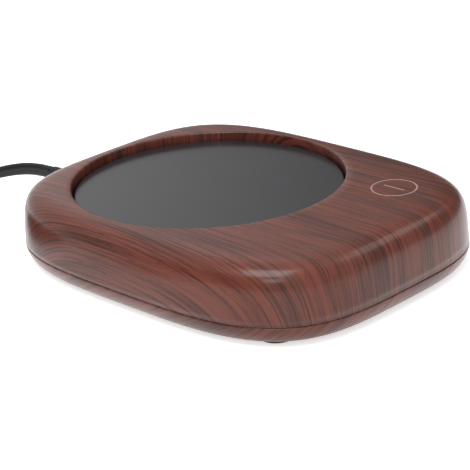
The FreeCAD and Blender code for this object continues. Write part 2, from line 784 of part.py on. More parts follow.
def rounded_path(route, name):
    """Straight runs joined by tangent arcs, each as large as its two runs allow."""
    edges = []
    radii = []
    at = route[0]
    for before, corner, after in zip(route, route[1:], route[2:]):
        into = (corner - before).normalize()
        out = (after - corner).normalize()
        half_turn = into.getAngle(out) / 2
        cut_back = 0.45 * min(corner.distanceToPoint(before), corner.distanceToPoint(after))
        radius = cut_back / tan(half_turn)
        radii.append(round(radius, 1))
        start = corner - into * cut_back
        end = corner + out * cut_back
        to_centre = (out - into).normalize()
        middle = corner + to_centre * (radius / cos(half_turn) - radius)
        edges.append(Part.LineSegment(at, start).toShape())
        edges.append(Part.Arc(start, middle, end).toShape())
        at = end
    edges.append(Part.LineSegment(at, route[-1]).toShape())
    print(name, "bend radii in mm:", radii)
    return Part.Wire(edges)


def tube(route, radius, name):
    """Round tube along a route; prints how its volume compares with section times length."""
    path = rounded_path(route, name)
    first = Part.Wire(Part.makeCircle(radius, route[0], route[1] - route[0]))
    solid = path.makePipeShell([first], True, False)
    expected = pi * radius ** 2 * path.Length
    print(name, "length", round(path.Length, 1), "mm, volume ratio", round(solid.Volume / expected, 4))
    return solid


# Free stretch of the cord, from the boot's end to the coil
cord_route = [V(0.0, boot_end_y, cord_exit_z), V(0.0, boot_end_y + 7.5, cord_exit_z), V(-2.2, boot_end_y + 17.0, 8.4),
              V(-8.0, boot_end_y + 26.5, 6.0), V(-18.5, boot_end_y + 32.8, 3.4), V(-33.0, boot_end_y + 34.0, cord_radius),
              V(-49.0, coil_y + coil_reach, cord_radius),
              V(coil_x + 2 * cord_radius, coil_y + coil_reach, cord_radius)]

# Tail of the cord, from the coil's top layer down to the plug
tail_radius = coil_inner_radius + coil_layer_turns[-1] * coil_pitch
tail_y = coil_y + tail_radius
plug_x = coil_x - 43.5
plug_z = plug_thick / 2
plug_start_y = coil_y - 25.0
tail_route = [V(coil_x - 2 * cord_radius, tail_y, coil_top_z), V(coil_x - 18.0, tail_y, coil_top_z),
              V(coil_x - 33.0, tail_y - 6.7, coil_top_z - 2.2), V(coil_x - 42.0, tail_y - 20.7, coil_top_z - 5.2),
              V(plug_x, plug_start_y + 11.5, plug_z), V(plug_x, plug_start_y, plug_z)]


def coil_point(turns):
    """Point of the coil's centreline after so many turns, with a climb at each reversal."""
    radius = coil_reach
    inward = True
    z = coil_low_z
    left = turns
    for layer, layer_turns in enumerate(coil_layer_turns):
        step = min(left, layer_turns)
        radius += (-1 if inward else 1) * coil_pitch * step
        left -= step
        if left <= 0 or layer == len(coil_layer_turns) - 1:
            break
        climb = min(left, 0.5)
        share = climb / 0.5
        z += coil_pitch * share ** 2 * (3 - 2 * share)
        ease = coil_pitch / (2 * pi) * sin(2 * pi * climb)
        left -= climb
        if left <= 0:
            radius += (-1 if inward else 1) * ease
            break
        inward = not inward
    angle = 2 * pi * (0.25 + turns)
    return V(coil_x + radius * cos(angle), coil_y + radius * sin(angle), z)


def biarc(start, start_way, end, end_way):
    """Two tangent arcs from one point and direction to another, as (start, middle, end) points."""
    span = end - start
    ways = start_way + end_way
    across = 2 * (1 - start_way.dot(end_way))
    along = span.dot(ways)
    reach = (-along + sqrt(along ** 2 + across * span.dot(span))) / across
    first = start + start_way * reach
    second = end - end_way * reach
    join = (first + second) * 0.5
    arcs = []
    for low, corner, high in ((start, first, join), (join, second, end)):
        chord_mid = (low + high) * 0.5
        rise = corner - chord_mid
        half = low.distanceToPoint(high) / 2
        sag = half * tan(atan2(rise.Length, half) / 2)
        arcs.append((low, chord_mid + rise.normalize() * sag, high))
    return arcs


def winding(places, ways):
    """Tangent arcs through a winding's places, each with its direction."""
    edges = []
    for start, way, end, end_way in zip(places, ways, places[1:], ways[1:]):
        for low, middle, high in biarc(start, way, end, end_way):
            edges.append(Part.Arc(low, middle, high).toShape())
    return edges


def cord_coil():
    """Put-away length: one unbroken tube wound in four layers, spiralling in and out again."""
    total = sum(coil_layer_turns) + 0.5 * (len(coil_layer_turns) - 1)
    count = round(total * 4)
    places = [coil_point(total * step / count) for step in range(count + 1)]
    ways = []
    for step in range(count + 1):
        if step in (0, count):
            ways.append(V(-1, 0, 0))
        else:
            at = total * step / count
            ways.append((coil_point(at + 0.01) - coil_point(at - 0.01)).normalize())
    lead_in = places[0] - ways[0] * (2 * cord_radius)
    lead_out = places[-1] + ways[-1] * (2 * cord_radius)
    edges = [Part.LineSegment(lead_in, places[0]).toShape()]
    edges += winding(places, ways)
    edges.append(Part.LineSegment(places[-1], lead_out).toShape())
    path = Part.Wire(edges)
    ring = Part.Wire(Part.makeCircle(cord_radius, lead_in, ways[0]))
    solid = path.makePipeShell([ring], True, False)
    expected = pi * cord_radius ** 2 * path.Length
    print("cord_coil length", round(path.Length, 1), "mm, volume ratio", round(solid.Volume / expected, 4))
    print("cord_coil least gap to itself", round(self_gap(edges, cord_radius), 3), "mm")
    return solid


def self_gap(edges, radius):
    """Least gap between stretches of one tube, measured on points along its centreline."""
    points = []
    run = 0.0
    for edge in edges:
        for point in edge.discretize(6)[:-1]:
            if points:
                run += point.distanceToPoint(points[-1][1])
            points.append((run, point))
    least = 1e9
    for index, (run, point) in enumerate(points):
        for other_run, other in points[index + 1:]:
            if other_run - run > 8 * radius:
                least = min(least, point.distanceToPoint(other))
    return least - 2 * radius


def rounded_rectangle(size_x, size_z, radius, y):
    """Closed rounded rectangle across Y, round the plug's axis."""
    half_x = size_x / 2
    half_z = size_z / 2
    radius = min(radius, half_x * 0.95, half_z * 0.95)
    edges = []
    corners = [(half_x - radius, half_z - radius, 0), (-half_x + radius, half_z - radius, 90),
               (-half_x + radius, -half_z + radius, 180), (half_x - radius, -half_z + radius, 270)]
    last = None
    first = None
    for cx, cz, turn in corners:
        points = []
        for angle in (turn, turn + 45, turn + 90):
            points.append(V(plug_x + cx + radius * cos(radians(angle)), y,
                            plug_z + cz + radius * sin(radians(angle))))
        if last is None:
            first = points[0]
        else:
            edges.append(Part.LineSegment(last, points[0]).toShape())
        edges.append(Part.Arc(*points).toShape())
        last = points[-1]
    edges.append(Part.LineSegment(last, first).toShape())
    return Part.Wire(edges)


plug_body_y = plug_start_y - plug_relief_length
plug_face_y = plug_body_y - plug_length


def plug_body():
    """Moulded plug: waisted grip, flat face and a ribbed cone round the cord."""
    sections = [rounded_rectangle(plug_tail_width, plug_thick * 0.72, 4.0, plug_body_y),
                rounded_rectangle(plug_width * 0.80, plug_thick * 0.86, 5.0, plug_body_y - plug_length * 0.28),
                rounded_rectangle(plug_width * 0.86, plug_thick * 0.80, 5.0, plug_body_y - plug_length * 0.55),
                rounded_rectangle(plug_width, plug_thick, 5.5, plug_body_y - plug_length * 0.84),
                rounded_rectangle(plug_nose_width, plug_thick * 0.92, 5.0, plug_face_y)]
    body = Part.makeLoft(sections, True, True)
    relief = Part.makeCone(plug_relief_radius, cord_radius + 0.7, plug_relief_length,
                           V(plug_x, plug_body_y, plug_z), V(0, 1, 0))
    for step in range(4):
        at = plug_body_y + 2.0 + step * 2.8
        ring = pipe_along_y(plug_relief_radius + 1, at, at + 1.2, plug_x, plug_z)
        relief = relief.cut(ring.cut(pipe_along_y(cord_radius + 0.25, at, at + 1.2, plug_x, plug_z)))
    body = body.fuse(relief)
    for side in (-1, 1):
        slot = Part.makeBox(blade_thick, blade_root, blade_width,
                            V(plug_x + side * blade_pitch / 2 - blade_thick / 2, plug_face_y, plug_z - blade_width / 2))
        body = body.cut(slot)
    return body


def plug_blades():
    """Two flat blades with their detent holes, set in the plug's face."""
    blades = []
    for side in (-1, 1):
        x = plug_x + side * blade_pitch / 2
        tip = plug_face_y - blade_length
        blade = Part.makeBox(blade_thick, blade_length + blade_root, blade_width,
                             V(x - blade_thick / 2, tip, plug_z - blade_width / 2))
        tip_edges = [e for e in blade.Edges if e.BoundBox.YMax < tip + 0.01]
        blade = blade.makeChamfer(blade_thick * 0.35, tip_edges)
        hole = Part.makeCylinder(blade_hole_radius, blade_thick + 2,
                                 V(x - blade_thick / 2 - 1, tip + blade_hole_from_tip, plug_z), V(1, 0, 0))
        blades.append(blade.cut(hole))
    return Part.makeCompound(blades)


def inner_cord():
    """End of the cord's sheath inside the case, from the boot through the clamp."""
    return pipe_along_y(cord_radius, sheath_end_y, sheath_start_y, 0, cord_exit_z)


def supply_leads():
    """Two cores from the sheath's end, along the floor to the board and to the switch."""
    start = sheath_end_y
    low = floor_z + lead_radius + 0.2
    to_board = [V(0.9, start, cord_exit_z), V(0.9, start - 4.5, cord_exit_z), V(5.0, start - 11.0, low + 2.0),
                V(9.5, start - 19.0, low), V(12.0, start - 32.0, low), V(12.5, start - 48.0, low),
                V(14.5, start - 64.0, low), V(16.2, board_y + 14.0, low + 0.8),
                V(16.5, board_y + 7.5, low + 2.6), V(16.5, board_y + 4.5, low + 5.6),
                V(16.5, board_y + 4.5, board_under_z)]
    tab_x = -switch_length / 2 - tab_length / 2
    tab_top = floor_z + switch_height * 0.35 + tab_thick + lead_radius
    to_switch = [V(-0.9, start, cord_exit_z), V(-0.9, start - 4.5, cord_exit_z), V(-4.5, start - 12.0, low + 2.5),
                 V(tab_x, start - 25.0, tab_top), V(tab_x, switch_y, tab_top)]
    return Part.makeCompound([tube(to_board, lead_radius, "supply lead to the board"),
                              tube(to_switch, lead_radius, "supply lead to the switch")])


nodes = {
    "top_cover": top_cover,
    "base_shell": base_shell,
    "heating_plate": heating_plate,
    "upper_mica_sheet": lambda: disc_with_holes(mica_radius, element_top_z, mica_top_z, mica_hole - stud_radius),
    "heating_element": heating_element,
    "lower_mica_sheet": lambda: disc_with_holes(mica_radius, clamp_top_z, mica_low_z, mica_hole - stud_radius),
    "clamp_plate": clamp_plate,
    "insulation_pad": insulation_pad,
    "thermostat": thermostat,
    "thermal_fuse": thermal_fuse,
    "plate_carrier": plate_carrier,
    "plate_screws": plate_screws,
    "plate_springs": plate_springs,
    "microswitch_body": microswitch,
    "switch_plunger": switch_plunger,
    "switch_terminals": switch_tabs,
    "switch_screws": switch_screws,
    "control_board": control_board,
    "power_relay": lambda: part_under_board(relay_size, relay_x),
    "film_capacitor": lambda: part_under_board(film_size, film_x),
    "touch_sensor": touch_sensor,
    "light_guide": light_guide,
    "indicator_leds": indicator_leds,
    "board_screws": board_screws,
    "case_screws": case_screws,
    "rubber_feet": rubber_feet,
    "strain_relief": strain_relief,
    "cord_clamp": cord_clamp,
    "clamp_screws": clamp_screws,
    "inner_cord": inner_cord,
    "supply_leads": supply_leads,
    "cord": lambda: tube(cord_route, cord_radius, "cord"),
    "cord_coil": cord_coil,
    "cord_tail": lambda: tube(tail_route, cord_radius, "cord_tail"),
    "plug_body": plug_body,
    "plug_blades": plug_blades,
}

os.makedirs("parts", exist_ok=True)
for name, make in nodes.items():
    shape = make()
    box = shape.optimalBoundingBox()
    print(name, "solids", len(shape.Solids), "valid", shape.isValid(), "volume", round(shape.Volume, 1),
          "z", round(box.ZMin, 2), round(box.ZMax, 2))
    shape.exportStep("parts/" + name + ".step")
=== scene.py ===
from math import cos, pi, radians, sin

import bmesh
import bpy
import numpy as np
from mathutils import Matrix, Vector


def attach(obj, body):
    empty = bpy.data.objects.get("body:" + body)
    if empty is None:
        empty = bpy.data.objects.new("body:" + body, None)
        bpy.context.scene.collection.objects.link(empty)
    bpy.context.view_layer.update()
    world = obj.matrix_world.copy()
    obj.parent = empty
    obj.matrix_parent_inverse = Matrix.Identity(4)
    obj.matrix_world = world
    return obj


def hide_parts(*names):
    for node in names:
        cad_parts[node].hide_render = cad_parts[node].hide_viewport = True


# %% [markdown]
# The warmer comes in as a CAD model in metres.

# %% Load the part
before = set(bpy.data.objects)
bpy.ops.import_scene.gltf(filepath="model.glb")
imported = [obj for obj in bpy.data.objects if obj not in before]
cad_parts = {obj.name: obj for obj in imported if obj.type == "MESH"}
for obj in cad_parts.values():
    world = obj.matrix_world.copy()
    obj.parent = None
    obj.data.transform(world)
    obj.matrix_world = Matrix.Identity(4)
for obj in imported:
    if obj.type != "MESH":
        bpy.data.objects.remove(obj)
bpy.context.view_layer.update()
MM = 0.001

# %% [markdown]
# A finish is a small graph of shader nodes. One helper adds a node with its settings and its links.
# Colours are written as sRGB hex, as a colour picker gives them, and one function makes them linear.


# %% Helpers for materials
def linear(hex_colour):
    """Linear RGBA of an sRGB hex colour."""
    channels = [int(hex_colour[i:i + 2], 16) / 255 for i in (1, 3, 5)]
    return [c / 12.92 if c <= 0.04045 else ((c + 0.055) / 1.055) ** 2.4 for c in channels] + [1.0]


def add(tree, kind, settings=None, **links):
    """A node of that kind; each link is a socket or a value for the input of that name or number."""
    node = tree.nodes.new(kind)
    for key, value in (settings or {}).items():
        setattr(node, key, value)
    for key, value in links.items():
        numbered = key[0] == "i" and key[1:].isdigit()
        socket = node.inputs[int(key[1:]) if numbered else key.replace("_", " ")]
        if isinstance(value, bpy.types.NodeSocket):
            tree.links.new(value, socket)
        else:
            socket.default_value = value
    return node


def new_material(name):
    """Empty node material with a Principled shader linked to its output."""
    material = bpy.data.materials.new(name)
    material.use_nodes = True
    tree = material.node_tree
    tree.nodes.clear()
    shader = add(tree, "ShaderNodeBsdfPrincipled")
    add(tree, "ShaderNodeOutputMaterial", Surface=shader.outputs["BSDF"])
    return material, tree, shader


def ramp(tree, value, stops):
    """Colour ramp through (place, hex) stops."""
    node = add(tree, "ShaderNodeValToRGB", Fac=value)
    elements = node.color_ramp.elements
    while len(elements) < len(stops):
        elements.new(0.5)
    for element, (place, colour) in zip(elements, stops):
        element.position = place
        element.color = linear(colour)
    return node.outputs["Color"]


def maths(tree, operation, *values):
    """One step of arithmetic."""
    inputs = {f"i{index}": value for index, value in enumerate(values)}
    return add(tree, "ShaderNodeMath", {"operation": operation}, **inputs).outputs[0]


# %% [markdown]
# The case of the real warmer is moulded ABS with a printed wood film stretched over it and sealed
# under a satin coat. A film has no depth, so its grain can be one flow over the whole cover: lines run
# front to back over the top, fall straight down the front side, and, where the film is pulled over
# the long sides, lie along them in arches. A solid pattern does this if its coordinate across the
# grain is X, plus the distance below the top wherever the surface is near a long side.

# %% Sizes of the case, in millimetres
width = 110.0
depth = 138.0
height = 25.3
corner_power = 3.49
case_wall = 2.4
top_skin = 2.2
floor_skin = 2.2
side_draft = 0.055
shoulder_in = 13.4
shoulder_down = 15.3
shoulder_power = 4.1
belly_in = 3.5
belly_up = 5.6
belly_power = 1.6
foot_stand = 1.55
seam_z = 7.3
seam_reveal = 0.3
recess_radius = 45.0
recess_y = 14.3
recess_wall = 1.8
recess_wall_z = 17.0
rim_round = 0.5
cord_exit_z = 9.4
foot_radius = 5.6
foot_height = 2.95
foot_round = 0.5
foot_seat_gap = 0.1
foot_span_x = 37.2
foot_span_y = 49.4
film_pull = 0.85
film_sway = 9.0
arch_middle = 14.0
arch_half = 44.0
arch_drop = 5.0
print("case", width, "x", depth, "x", height, "mm, recess", 2 * recess_radius, "mm across")

# %% [markdown]
# The film's colour comes from noise drawn out along the grain at three widths: broad soft bands,
# fine dark lines about half a millimetre wide, and short pores. A slow noise makes the lines sway.
# The base has its own piece of film, laid on the slant.



# %% Wood film
def wood_film(name, base_shell):
    """Satin printed film on moulded ABS: fine dark lines, pores and broad reddish streaks."""
    material, tree, shader = new_material(name)
    place = add(tree, "ShaderNodeTexCoord").outputs["Object"]
    split = add(tree, "ShaderNodeSeparateXYZ", Vector=place)
    x, y, z = split.outputs
    below = maths(tree, "SUBTRACT", height * MM, z)
    side = maths(tree, "POWER", maths(tree, "DIVIDE", maths(tree, "ABSOLUTE", x), width / 2 * MM), 5.0)
    if base_shell:
        across = maths(tree, "ADD", maths(tree, "MULTIPLY", x, 0.46), maths(tree, "MULTIPLY", y, -0.45))
        across = maths(tree, "SUBTRACT", across, maths(tree, "MULTIPLY", z, 0.75))
    else:
        pulled = maths(tree, "MULTIPLY", maths(tree, "MULTIPLY", below, side), film_pull)
        arch = maths(tree, "POWER", maths(tree, "ABSOLUTE", maths(tree, "DIVIDE",
                     maths(tree, "SUBTRACT", y, arch_middle * MM), arch_half * MM)), 2.0)
        arched = maths(tree, "MULTIPLY", maths(tree, "MULTIPLY", arch, side), -arch_drop * MM)
        sign = maths(tree, "SIGN", x)
        across = maths(tree, "ADD", x, maths(tree, "MULTIPLY", sign, maths(tree, "ADD", pulled, arched)))
    stretch = add(tree, "ShaderNodeVectorMath", {"operation": "MULTIPLY"}, i0=place)
    stretch.inputs[1].default_value = (24.0, 11.0, 20.0)
    sway = add(tree, "ShaderNodeTexNoise", {"noise_dimensions": "3D"}, Vector=stretch.outputs[0], Scale=1.0,
               Detail=2.0, Roughness=0.45)
    swayed = maths(tree, "MULTIPLY", maths(tree, "SUBTRACT", sway.outputs["Fac"], 0.5), film_sway * MM)
    across = maths(tree, "ADD", across, swayed)

    def streaks(line_mm, along_mm, upright_mm, detail, roughness):
        """Noise drawn out along the grain; line_mm is about the width of one line."""
        point = add(tree, "ShaderNodeCombineXYZ",
                    X=maths(tree, "DIVIDE", across, line_mm * MM),
                    Y=maths(tree, "DIVIDE", y, along_mm * MM),
                    Z=maths(tree, "DIVIDE", z, upright_mm * MM))
        return add(tree, "ShaderNodeTexNoise", Vector=point.outputs[0], Scale=1.0, Detail=detail,
                   Roughness=roughness).outputs["Fac"]

    lines = streaks(0.55, 42.0, 36.0, 3.0, 0.60)
    bands = streaks(9.0, 80.0, 60.0, 3.0, 0.55)
    pores = streaks(0.36, 4.0, 4.0, 1.0, 0.5)
    ground = ramp(tree, bands, [(0.30, "#48241c"), (0.44, "#603126"), (0.56, "#6e392c"), (0.70, "#543129")])
    line_share = add(tree, "ShaderNodeMapRange", {"interpolation_type": "SMOOTHSTEP"}, Value=lines,
                     From_Min=0.58, From_Max=0.34, To_Min=0.0, To_Max=0.78).outputs[0]
    lined = add(tree, "ShaderNodeMix", {"data_type": "RGBA"}, Factor=line_share)
    tree.links.new(ground, lined.inputs[6])
    lined.inputs[7].default_value = linear("#2a1310")
    pore_share = add(tree, "ShaderNodeMapRange", Value=pores, From_Min=0.36, From_Max=0.26,
                     To_Min=0.0, To_Max=0.55).outputs[0]
    dotted = add(tree, "ShaderNodeMix", {"data_type": "RGBA"}, Factor=pore_share)
    tree.links.new(lined.outputs[2], dotted.inputs[6])
    dotted.inputs[7].default_value = linear("#1f0e0c")
    tree.links.new(dotted.outputs[2], shader.inputs["Base Color"])
    rough = add(tree, "ShaderNodeMapRange", Value=lines, From_Min=0.3, From_Max=0.7,
                To_Min=0.38, To_Max=0.30)
    tree.links.new(rough.outputs[0], shader.inputs["Roughness"])
    shader.inputs["IOR"].default_value = 1.3
    shader.inputs["Coat Weight"].default_value = 0.30
    shader.inputs["Coat IOR"].default_value = 1.36
    shader.inputs["Coat Roughness"].default_value = 0.16
    bump = add(tree, "ShaderNodeBump", Height=lines, Strength=0.06, Distance=0.05 * MM)
    tree.links.new(bump.outputs[0], shader.inputs["Normal"])
    return material


cover_film = wood_film("wood_film_on_ABS_cover", False)
base_film = wood_film("wood_film_on_ABS_base", True)
print("wood films made")

# %% [markdown]
# The two shells are one family of rounded squares. Each height has the same outline, drawn in by an
# amount that follows a super-ellipse, so the shoulder is flat on top and turns over quickly. The
# cover also has the round mug recess, which is off centre, so its rings are spaced round the recess:
# every ring point lies on a ray from the recess centre. That gives one clean closed grid.

# %% Outline and closed grids
def outline(inset, points=1440):
    """Points of the case outline in mm, drawn in by inset, as an array of x and y."""
    turn = np.linspace(0, 2 * pi, points, endpoint=False)
    c, s = np.cos(turn), np.sin(turn)

    def signed(value, exponent):
        return np.sign(value) * np.abs(value) ** exponent

    nx = signed(c, 2 - 2 / corner_power) / (width / 2)
    ny = signed(s, 2 - 2 / corner_power) / (depth / 2)
    long = np.hypot(nx, ny)
    return np.stack([width / 2 * signed(c, 2 / corner_power) - inset * nx / long,
                     depth / 2 * signed(s, 2 / corner_power) - inset * ny / long], axis=1)


def reach(inset, angles, centre_y=0.0):
    """Distance of the outline from (0, centre_y) at each angle."""
    ring = outline(inset) - [0.0, centre_y]
    turn = np.arctan2(ring[:, 1], ring[:, 0]) % (2 * pi)
    order = np.argsort(turn)
    return np.interp(angles, turn[order], np.hypot(*ring.T)[order], period=2 * pi)


def quarter(share, exponent):
    """Drop of a super-elliptic quarter: 0 at share 0, 1 at share 1."""
    return 1 - (1 - share ** exponent) ** (1 / exponent)


def mesh_object(name, vertices, faces, material):
    """Object at the origin from vertices in mm."""
    mesh = bpy.data.meshes.new(name)
    mesh.from_pydata([[c * MM for c in v] for v in vertices], [], faces)
    mesh.materials.append(material)
    mesh.shade_smooth()
    piece = bpy.data.objects.new(name, mesh)
    bpy.context.scene.collection.objects.link(piece)
    return piece


def grid(name, rings, material, closed_profile=True):
    """Closed shape from rings of equally many points; the first and last ring meet or are capped."""
    count = len(rings[0])
    vertices = [point for ring in rings for point in ring]
    faces = []
    last = len(rings) if closed_profile else len(rings) - 1
    for row in range(last):
        above = (row + 1) % len(rings)
        for i in range(count):
            j = (i + 1) % count
            faces.append((row * count + i, row * count + j, above * count + j, above * count + i))
    if not closed_profile:
        faces.append(tuple(reversed(range(count))))
        faces.append(tuple(range((len(rings) - 1) * count, len(rings) * count)))
    piece = mesh_object(name, vertices, faces, material)
    shaped = bmesh.new()
    shaped.from_mesh(piece.data)
    bmesh.ops.recalc_face_normals(shaped, faces=shaped.faces)
    shaped.to_mesh(piece.data)
    shaped.free()
    return piece


def combined(piece, tools, operation):
    """The piece after a Boolean with each tool, which is then removed."""
    for tool in tools:
        modifier = piece.modifiers.new("cut", "BOOLEAN")
        modifier.object = tool
        modifier.operation = operation
        modifier.solver = "EXACT"
        shape = bpy.data.meshes.new_from_object(piece.evaluated_get(bpy.context.evaluated_depsgraph_get()))
        piece.modifiers.clear()
        piece.data = shape
        bpy.data.objects.remove(tool)
    return piece


def turned(name, profile, centre, material, steps=96, axis="z"):
    """Solid of revolution from (radius, place along the axis) points, capped at both ends."""
    rings = []
    for radius, along in profile:
        ring = []
        for step in range(steps):
            angle = 2 * pi * step / steps
            a, b = radius * cos(angle), radius * sin(angle)
            ring.append((centre[0] + a, centre[1] + b, centre[2] + along) if axis == "z"
                        else (centre[0] + a, centre[1] + along, centre[2] + b))
        rings.append(ring)
    return grid(name, rings, material, closed_profile=False)


# %% [markdown]
# The cover's rings are closest together where its outline bends most, so the shoulder stays smooth.
# Its inside is the same form, one wall further in. The lead's hole is cut out of the back wall.

# %% Top cover
def cover_profiles(skin_side, skin_top, low, inner_radius, angles, count):
    """Rings from the low edge up over the shoulder and in to the recess, each on the same rays."""
    top = height - skin_top
    down = shoulder_down - skin_top
    inward = shoulder_in - skin_side
    shares = 1 - np.linspace(1, 0, 90) ** 2.6
    levels = [(low, skin_side + side_draft * (low - seam_z))]
    for share in shares:
        z = top - down * (1 - share)
        if z > low:
            leaned = skin_side + side_draft * (z - seam_z)
            levels.append((z, leaned + inward * quarter(share, shoulder_power)))
    radii = np.array([reach(inset, angles, recess_y) for _, inset in levels])
    heights = np.array([z for z, _ in levels])
    rings = np.zeros((count, len(angles), 3))
    for index, angle in enumerate(angles):
        r = np.append(radii[:, index], inner_radius)
        z = np.append(heights, heights[-1])
        if r[-2] < inner_radius:
            keep = np.argmax(r < inner_radius)
            share = (r[keep - 1] - inner_radius) / (r[keep - 1] - r[keep])
            z = np.append(z[:keep], z[keep - 1] + share * (z[keep] - z[keep - 1]))
            r = np.append(r[:keep], inner_radius)
        run = np.concatenate([[0], np.cumsum(np.hypot(np.diff(r), np.diff(z)))])
        turn = np.concatenate([[0], np.abs(np.diff(np.arctan2(np.diff(z), np.diff(r)))), [0]])
        pace = run / run[-1] + 1.6 * np.cumsum(turn) / np.sum(turn)
        wanted = np.linspace(0, pace[-1], count)
        ray_r, ray_z = np.interp(wanted, pace, r), np.interp(wanted, pace, z)
        rings[:, index, 0] = ray_r * cos(angle)
        rings[:, index, 1] = recess_y + ray_r * sin(angle)
        rings[:, index, 2] = ray_z
    return [[tuple(p) for p in ring] for ring in rings]


ray_angles = np.linspace(0, 2 * pi, 288, endpoint=False)
low_edge = seam_z + seam_reveal / 2


def circle(radius, z):
    """Ring round the recess centre on the same rays as the cover."""
    return [(radius * cos(a), recess_y + radius * sin(a), z) for a in ray_angles]


outside = cover_profiles(0.0, 0.0, low_edge, recess_radius + rim_round, ray_angles, 52)
inside = cover_profiles(case_wall, top_skin, low_edge, recess_radius + recess_wall, ray_angles, 30)
rim_z = height - rim_round
rim = [circle(recess_radius + rim_round * (1 - sin(radians(t))), rim_z + rim_round * cos(radians(t)) - 0.02)
       for t in (30, 60, 90)]
recess = [circle(recess_radius, rim_z - 1.5), circle(recess_radius, recess_wall_z + 0.3),
          circle(recess_radius + 0.3, recess_wall_z), circle(recess_radius + recess_wall, recess_wall_z)]
cover = grid("top_cover_moulding", outside + rim + recess + inside[::-1], cover_film)
cord_hole = turned("cord_hole", [(3.2, 60.0), (3.2, 75.0)], (0, 0, cord_exit_z), cover_film, 48, "y")
cover = combined(cover, [cord_hole], "DIFFERENCE")
print("cover faces", len(cover.data.polygons))

# %% [markdown]
# The base is a shallow dish with a belly, a floor and a tongue that stands inside the cover's edge.
# Seats for the feet and the other half of the lead's hole are cut out of it.

# %% Base shell
def base_rings(skin_side, skin_floor, top, angles):
    """Rings of the base from its floor's edge up the belly to a height."""
    low = foot_stand + skin_floor
    up = belly_up - skin_floor
    rings = []
    for share in np.linspace(1, 0, 14):
        radii = reach(skin_side + belly_in * quarter(share, belly_power), angles)
        z = low + up * (1 - share)
        rings.append([(r * cos(a), r * sin(a), z) for r, a in zip(radii, angles)])
    if top > low + up:
        radii = reach(skin_side, angles)
        rings.append([(r * cos(a), r * sin(a), top) for r, a in zip(radii, angles)])
    return rings


def floor_rings(edge, steps):
    """Rings that close a floor towards its middle from its edge ring."""
    return [[(x * s, y * s, z) for x, y, z in edge] for s in steps]


base_outside = base_rings(0.0, 0.0, seam_z - seam_reveal / 2, ray_angles)
base_inside = base_rings(case_wall, floor_skin, seam_z - seam_reveal / 2, ray_angles)
tongue_outer = 2.55
tongue_inner = 3.55
tongue_bevel = 0.1
tongue_top = seam_z + 1.6
tongue_foot = 5.6
tongue_root = 5.0
base_edge = seam_z - seam_reveal / 2
tongue_profile = [(case_wall, base_edge), (tongue_outer, base_edge),
                  (tongue_outer, tongue_top - tongue_bevel),
                  (tongue_outer + tongue_bevel, tongue_top), (tongue_inner - tongue_bevel, tongue_top),
                  (tongue_inner, tongue_top - tongue_bevel), (tongue_inner, tongue_foot),
                  (case_wall, tongue_root)]
tongue = []
for inset, z in tongue_profile:
    tongue.append([(r * cos(a), r * sin(a), z) for r, a in zip(reach(inset, ray_angles), ray_angles)])
underside = floor_rings(base_outside[0], (0.02, 0.3, 0.6, 0.85, 0.97))
floor_top = floor_rings(base_inside[0], (0.97, 0.8, 0.5, 0.2, 0.02))
belly_top = [ring for ring in base_inside if ring[0][2] < tongue_root]
base = grid("base_shell_moulding", underside + base_outside + tongue[1:] + belly_top[::-1] + floor_top,
            base_film, closed_profile=False)
foot_places = [(sx * foot_span_x, sy * foot_span_y) for sx in (-1, 1) for sy in (-1, 1)]
seat_radius = foot_radius + foot_seat_gap
seats = [turned("seat", [(seat_radius, -1.0), (seat_radius, foot_height)], (x, y, 0), base_film, 64)
         for x, y in foot_places]
cord_hole = turned("cord_hole", [(3.2, 60.0), (3.2, 75.0)], (0, 0, cord_exit_z), base_film, 48, "y")
base = combined(base, seats + [cord_hole], "DIFFERENCE")
print("base faces", len(base.data.polygons))

for shell, node in ((cover, "top_cover"), (base, "base_shell")):
    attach(shell, "housing")
    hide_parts(node)

# %% [markdown]
# The power mark is printed on the film as a ring with a short upright bar, in a pale pinkish grey.
# A print a few hundredths of a millimetre thick is a thin closed band that sits just on the cover.

# %% Printed mark
mark_ink, ink_tree, ink = new_material("screen_printed_ink")
ink_place = add(ink_tree, "ShaderNodeTexCoord").outputs["Object"]
ink_noise = add(ink_tree, "ShaderNodeTexNoise", Vector=ink_place, Scale=900.0, Detail=2.0)
ink_tree.links.new(ramp(ink_tree, ink_noise.outputs["Fac"], [(0.3, "#967770"), (0.7, "#a6867f")]),
                   ink.inputs["Base Color"])
ink.inputs["Roughness"].default_value = 0.45
mark_x, mark_y = 26.9, -42.0
mark_radius = 7.5
line_width = 0.52
ink_low, ink_high = height - 0.03, height + 0.02
ring_turns = [2 * pi * i / 128 for i in range(128)]
ring_rings = []
for radius, z in ((mark_radius, ink_low), (mark_radius, ink_high), (mark_radius - line_width, ink_high),
                  (mark_radius - line_width, ink_low)):
    ring_rings.append([(mark_x + radius * cos(a), mark_y + radius * sin(a), z) for a in ring_turns])
mark_ring = grid("mark_ring", ring_rings, mark_ink)
bar_half, bar_width = 4.15, 0.55
bar_corners = [(mark_x + sx * bar_width / 2, mark_y + sy * bar_half)
               for sx, sy in ((-1, -1), (1, -1), (1, 1), (-1, 1))]
bar_rings = [[(x, y, z) for x, y in bar_corners] for z in (ink_low, ink_high)]
mark_bar = grid("mark_bar", bar_rings, mark_ink, closed_profile=False)
for print_piece in (mark_ring, mark_bar):
    print_piece.data.shade_flat()
    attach(print_piece, "housing")

# %% [markdown]
# The other pieces keep their CAD meshes. Each gets the finish of the real one: a base colour and a
# shade that a fine noise mixes, at the size of the real grain, with a roughness and a bump to match.


